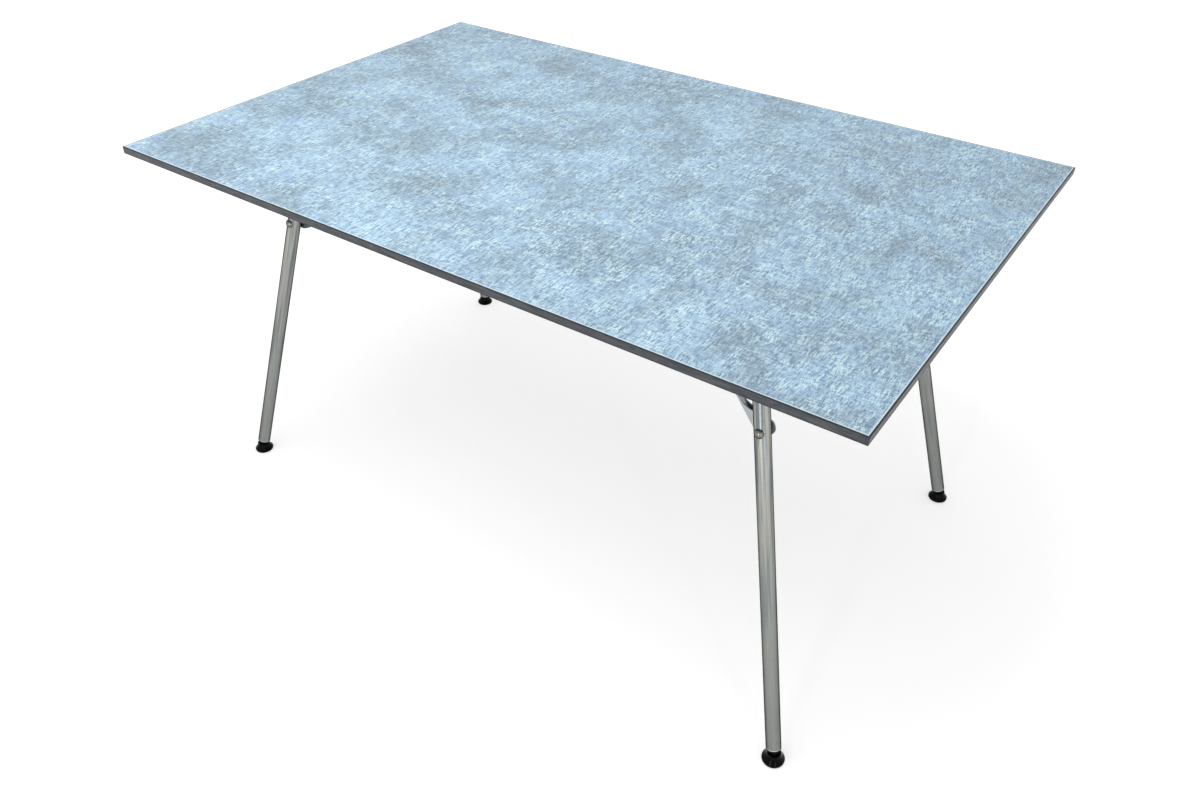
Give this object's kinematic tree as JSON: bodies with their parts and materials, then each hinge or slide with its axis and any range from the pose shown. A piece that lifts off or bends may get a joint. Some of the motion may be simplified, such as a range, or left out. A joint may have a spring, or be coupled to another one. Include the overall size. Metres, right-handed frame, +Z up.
{
  "type": "folding dining table",
  "caption": "Folding dining table: thin stone-look board with a dark edge band on splayed round aluminium legs, with hooked steel stays and black swivel feet.",
  "frame": {"origin": "on the floor, under the middle of the table top", "axes": "+X along the table's length, +Y across it away from the near long edge, +Z up"},
  "size_m": [1.4, 0.9, 0.73],
  "materials": {
    "decor": "blue-grey stone-look decor laminate, satin",
    "core": "lightweight plywood core, unfinished",
    "balance": "plain grey balancing laminate, matt",
    "edge_band": "dark grey edging strip, satin",
    "leg_aluminium": "satin anodised",
    "plated_steel": "bright zinc plated",
    "rivet_metal": "polished rivet head",
    "black_nylon": "moulded black nylon, satin",
    "foot_black": "glossy black moulding"
  },
  "bodies": {
    "table": {"balance_laminate": "balance", "top_core": "core", "decor_laminate": "decor", "edge_band_front": "edge_band", "edge_band_right": "edge_band", "edge_band_back": "edge_band", "edge_band_left": "edge_band", "hinge_bracket_front_left": "plated_steel", "hinge_rivet_front_left": "rivet_metal", "catch_bracket_front_left": "plated_steel", "catch_pin_front_left": "rivet_metal", "hinge_bracket_front_right": "plated_steel", "hinge_rivet_front_right": "rivet_metal", "catch_bracket_front_right": "plated_steel", "catch_pin_front_right": "rivet_metal", "hinge_bracket_rear_left": "plated_steel", "hinge_rivet_rear_left": "rivet_metal", "catch_bracket_rear_left": "plated_steel", "catch_pin_rear_left": "rivet_metal", "hinge_bracket_rear_right": "plated_steel", "hinge_rivet_rear_right": "rivet_metal", "catch_bracket_rear_right": "plated_steel", "catch_pin_rear_right": "rivet_metal"},
    "leg_front_left": {"leg_tube_front_left": "leg_aluminium", "leg_head_front_left": "black_nylon", "head_rivet_front_left": "rivet_metal", "stay_washer_front_left": "black_nylon", "stay_rivet_front_left": "rivet_metal", "foot_plug_front_left": "black_nylon"},
    "stay_front_left": {"stay_front_left": "plated_steel"},
    "foot_front_left": {"swivel_foot_front_left": "foot_black"},
    "leg_front_right": {"leg_tube_front_right": "leg_aluminium", "leg_head_front_right": "black_nylon", "head_rivet_front_right": "rivet_metal", "stay_washer_front_right": "black_nylon", "stay_rivet_front_right": "rivet_metal", "foot_plug_front_right": "black_nylon"},
    "stay_front_right": {"stay_front_right": "plated_steel"},
    "foot_front_right": {"swivel_foot_front_right": "foot_black"},
    "leg_rear_left": {"leg_tube_rear_left": "leg_aluminium", "leg_head_rear_left": "black_nylon", "head_rivet_rear_left": "rivet_metal", "stay_washer_rear_left": "black_nylon", "stay_rivet_rear_left": "rivet_metal", "foot_plug_rear_left": "black_nylon"},
    "stay_rear_left": {"stay_rear_left": "plated_steel"},
    "foot_rear_left": {"swivel_foot_rear_left": "foot_black"},
    "leg_rear_right": {"leg_tube_rear_right": "leg_aluminium", "leg_head_rear_right": "black_nylon", "head_rivet_rear_right": "rivet_metal", "stay_washer_rear_right": "black_nylon", "stay_rivet_rear_right": "rivet_metal", "foot_plug_rear_right": "black_nylon"},
    "stay_rear_right": {"stay_rear_right": "plated_steel"},
    "foot_rear_right": {"swivel_foot_rear_right": "foot_black"}
  },
  "joints": [
    {"name": "fold_front_left", "type": "hinge", "parent": "table", "child": "leg_front_left", "pos_m": [-0.48, -0.24, 0.688], "axis": [0, -0.9851, 0.1722], "range_deg": [0, 103.6]},
    {"name": "stay_swing_front_left", "type": "hinge", "parent": "leg_front_left", "child": "stay_front_left", "pos_m": [-0.51143, -0.26234, 0.56019], "axis": [0, 0.9851, -0.1722], "range_deg": [0, 152]},
    {"name": "foot_tilt_front_left", "type": "hinge", "parent": "leg_front_left", "child": "foot_front_left", "pos_m": [-0.646, -0.358, 0.013], "axis": [-0.5794, 0.8151, 0], "range_deg": [-2, 35]},
    {"name": "fold_front_right", "type": "hinge", "parent": "table", "child": "leg_front_right", "pos_m": [0.48, -0.288, 0.688], "axis": [0, 0.9851, -0.1722], "range_deg": [0, 103.6]},
    {"name": "stay_swing_front_right", "type": "hinge", "parent": "leg_front_right", "child": "stay_front_right", "pos_m": [0.51143, -0.31034, 0.56019], "axis": [0, -0.9851, 0.1722], "range_deg": [0, 152]},
    {"name": "foot_tilt_front_right", "type": "hinge", "parent": "leg_front_right", "child": "foot_front_right", "pos_m": [0.646, -0.406, 0.013], "axis": [-0.5794, -0.8151, 0], "range_deg": [-2, 35]},
    {"name": "fold_rear_left", "type": "hinge", "parent": "table", "child": "leg_rear_left", "pos_m": [-0.48, 0.288, 0.688], "axis": [0, -0.9851, -0.1722], "range_deg": [0, 103.6]},
    {"name": "stay_swing_rear_left", "type": "hinge", "parent": "leg_rear_left", "child": "stay_rear_left", "pos_m": [-0.51143, 0.31034, 0.56019], "axis": [0, 0.9851, 0.1722], "range_deg": [0, 152]},
    {"name": "foot_tilt_rear_left", "type": "hinge", "parent": "leg_rear_left", "child": "foot_rear_left", "pos_m": [-0.646, 0.406, 0.013], "axis": [0.5794, 0.8151, 0], "range_deg": [-2, 35]},
    {"name": "fold_rear_right", "type": "hinge", "parent": "table", "child": "leg_rear_right", "pos_m": [0.48, 0.24, 0.688], "axis": [0, 0.9851, 0.1722], "range_deg": [0, 103.6]},
    {"name": "stay_swing_rear_right", "type": "hinge", "parent": "leg_rear_right", "child": "stay_rear_right", "pos_m": [0.51143, 0.26234, 0.56019], "axis": [0, -0.9851, -0.1722], "range_deg": [0, 152]},
    {"name": "foot_tilt_rear_right", "type": "hinge", "parent": "leg_rear_right", "child": "foot_rear_right", "pos_m": [0.646, 0.358, 0.013], "axis": [0.5794, -0.8151, 0], "range_deg": [-2, 35]}
  ],
  "couplings": [
    {"joint": "stay_swing_front_left", "follows": "fold_front_left", "ratio": 1.4652},
    {"joint": "stay_swing_front_right", "follows": "fold_front_right", "ratio": 1.4652},
    {"joint": "stay_swing_rear_left", "follows": "fold_rear_left", "ratio": 1.4652},
    {"joint": "stay_swing_rear_right", "follows": "fold_rear_right", "ratio": 1.4652}
  ]
}
